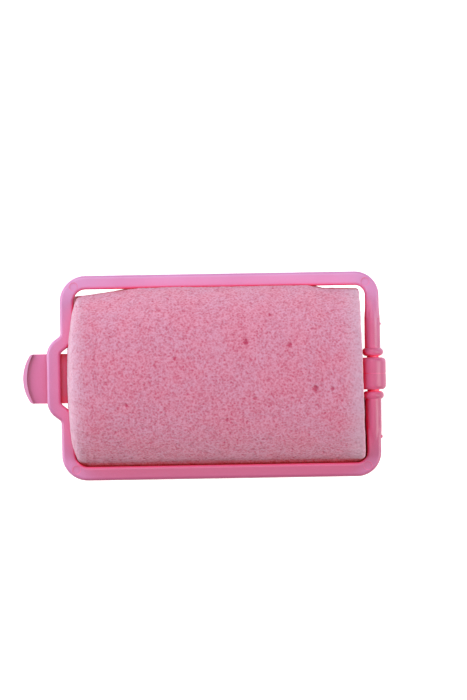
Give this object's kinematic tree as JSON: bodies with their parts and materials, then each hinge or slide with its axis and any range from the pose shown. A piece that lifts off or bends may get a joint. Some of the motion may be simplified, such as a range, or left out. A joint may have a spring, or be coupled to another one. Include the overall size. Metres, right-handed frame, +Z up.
{
  "type": "hair roller",
  "caption": "Foam hair roller: a cylindrical foam sleeve on a flat plastic core, with a hinged plastic clip frame that closes around it onto a thumb tab.",
  "frame": {"origin": "bottom centre of the whole part's box, on the flat underside that the foam rests on", "axes": "+X runs along the roller from the thumb tab to the hinge, +Y runs along the hinge axis, +Z is up, through the side that the clip frame opens towards"},
  "size_m": [0.0782, 0.0442, 0.0376],
  "materials": {
    "foam": "open-cell polyurethane foam, pink, matte",
    "core_plastic": "moulded polypropylene, pink, semi-gloss and slightly translucent",
    "frame_plastic": "moulded polypropylene, pink, semi-gloss and slightly translucent"
  },
  "bodies": {
    "roller": {"sponge": "foam", "core": "core_plastic"},
    "clip": {"clip_frame": "frame_plastic"}
  },
  "joints": [
    {"name": "clip_hinge", "type": "hinge", "parent": "roller", "child": "clip", "pos_m": [0.03635, 0, 0.0209], "axis": [0, 1, 0], "range_deg": [0, 180]}
  ]
}
